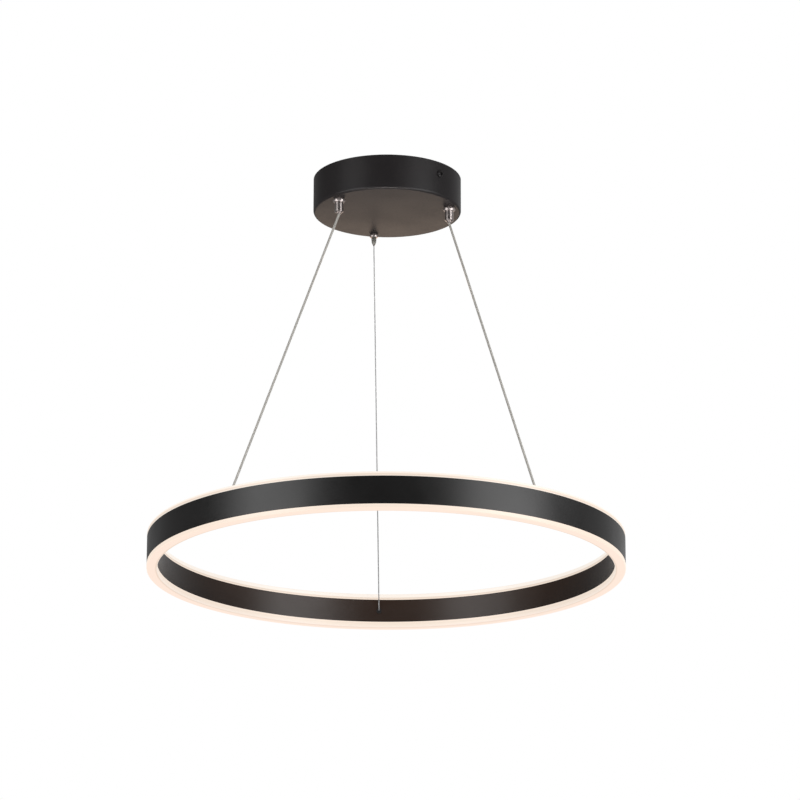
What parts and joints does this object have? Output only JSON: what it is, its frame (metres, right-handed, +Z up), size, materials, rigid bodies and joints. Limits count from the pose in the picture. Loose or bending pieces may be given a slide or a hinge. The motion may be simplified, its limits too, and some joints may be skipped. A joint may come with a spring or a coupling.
{
  "type": "led pendant light",
  "caption": "Round ring pendant light that shines up and down, hung on taut wires with push-release grippers from a round ceiling canopy.",
  "frame": {"origin": "centre of the ceiling face: the bracket's top face and the canopy's rim lie at z = 0", "axes": "+Z up, square to the ceiling; -Y towards the front, where the two power cables hang; +X to the right"},
  "size_m": [0.5999, 0.6, 0.5228],
  "materials": {
    "canopy_paint": "satin black powder coat",
    "ring_paint": "satin black powder coat on aluminium",
    "opal": "opal diffuser, lit warm white",
    "nickel": "polished nickel plate",
    "zinc": "bright zinc plate",
    "spring_steel": "bright drawn spring wire",
    "brass": "turned",
    "copper_crimp": "tinned",
    "cable_jacket": "clear jacket over a steel and copper strand",
    "steel_wire": "stranded stainless wire",
    "bush_nylon": "black nylon",
    "driver_plastic": "white moulded",
    "terminal_plastic": "natural polyamide",
    "board": "green solder mask",
    "strip_board": "white solder mask",
    "chip_phosphor": "phosphor lens, lit",
    "ferrite": "ferrite and yellow tape",
    "capacitor_sleeve": "shrink sleeve",
    "chip_black": "moulded epoxy",
    "lead_brown": "pvc insulation",
    "lead_blue": "pvc insulation",
    "lead_green": "pvc insulation, green and yellow",
    "lead_red": "pvc insulation",
    "lead_black": "pvc insulation"
  },
  "bodies": {
    "canopy": {"ceiling_bracket": "zinc", "canopy_shell": "canopy_paint", "canopy_side_screws": "canopy_paint", "canopy_weld_studs": "zinc", "canopy_stud_nuts": "zinc", "driver_case": "driver_plastic", "driver_cover": "driver_plastic", "driver_board": "board", "driver_transformer": "ferrite", "driver_capacitors": "capacitor_sleeve", "driver_power_chips": "chip_black", "supply_terminal_block": "terminal_plastic", "terminal_block_screws": "zinc", "driver_live_lead": "lead_brown", "driver_neutral_lead": "lead_blue", "earth_lead": "lead_green", "driver_positive_lead": "lead_red", "driver_negative_lead": "lead_black", "output_crimps": "copper_crimp", "left_cable_tail": "cable_jacket", "right_cable_tail": "cable_jacket", "rear_wire_tail": "steel_wire", "power_gripper_collar_nuts": "nickel", "power_gripper_lock_nuts": "zinc", "power_gripper_caps": "brass", "rear_gripper_collar_nut": "nickel", "rear_gripper_lock_nut": "zinc", "rear_gripper_cap": "brass", "left_power_cable": "cable_jacket", "right_power_cable": "cable_jacket", "rear_steel_wire": "steel_wire", "left_gripper_body": "nickel", "left_gripper_spring": "spring_steel", "right_gripper_body": "nickel", "right_gripper_spring": "spring_steel", "rear_gripper_body": "nickel", "rear_gripper_spring": "spring_steel"},
    "ring": {"ring_profile": "ring_paint", "upper_diffuser": "opal", "lower_diffuser": "opal", "upper_led_strip": "strip_board", "lower_led_strip": "strip_board", "upper_led_chips": "chip_phosphor", "lower_led_chips": "chip_phosphor", "ring_joint_plate": "zinc", "ring_joint_screws": "zinc", "line_entry_bushes": "bush_nylon", "power_cable_ferrules": "copper_crimp", "rear_wire_ferrule": "zinc", "power_cable_ends": "cable_jacket", "rear_wire_end": "steel_wire", "left_feed_lead": "lead_red", "right_feed_lead": "lead_black"},
    "left_plunger": {"left_gripper_plunger": "nickel", "left_gripper_balls": "spring_steel"},
    "right_plunger": {"right_gripper_plunger": "nickel", "right_gripper_balls": "spring_steel"},
    "rear_plunger": {"rear_gripper_plunger": "nickel", "rear_gripper_balls": "spring_steel"}
  },
  "joints": [
    {"name": "ring_height", "type": "slide", "parent": "canopy", "child": "ring", "axis": [0, 0, 1], "range_m": [0, 0.3], "deforming": ["left_power_cable", "right_power_cable", "rear_steel_wire"]},
    {"name": "left_release", "type": "slide", "parent": "canopy", "child": "left_plunger", "axis": [0, 0, 1], "range_m": [0, 0.0017], "stiffness_N_per_m": 900, "springref_m": -0.002, "deforming": ["left_gripper_spring"]},
    {"name": "right_release", "type": "slide", "parent": "canopy", "child": "right_plunger", "axis": [0, 0, 1], "range_m": [0, 0.0017], "stiffness_N_per_m": 900, "springref_m": -0.002, "deforming": ["right_gripper_spring"]},
    {"name": "rear_release", "type": "slide", "parent": "canopy", "child": "rear_plunger", "axis": [0, 0, 1], "range_m": [0, 0.0013], "stiffness_N_per_m": 700, "springref_m": -0.002, "deforming": ["rear_gripper_spring"]}
  ]
}
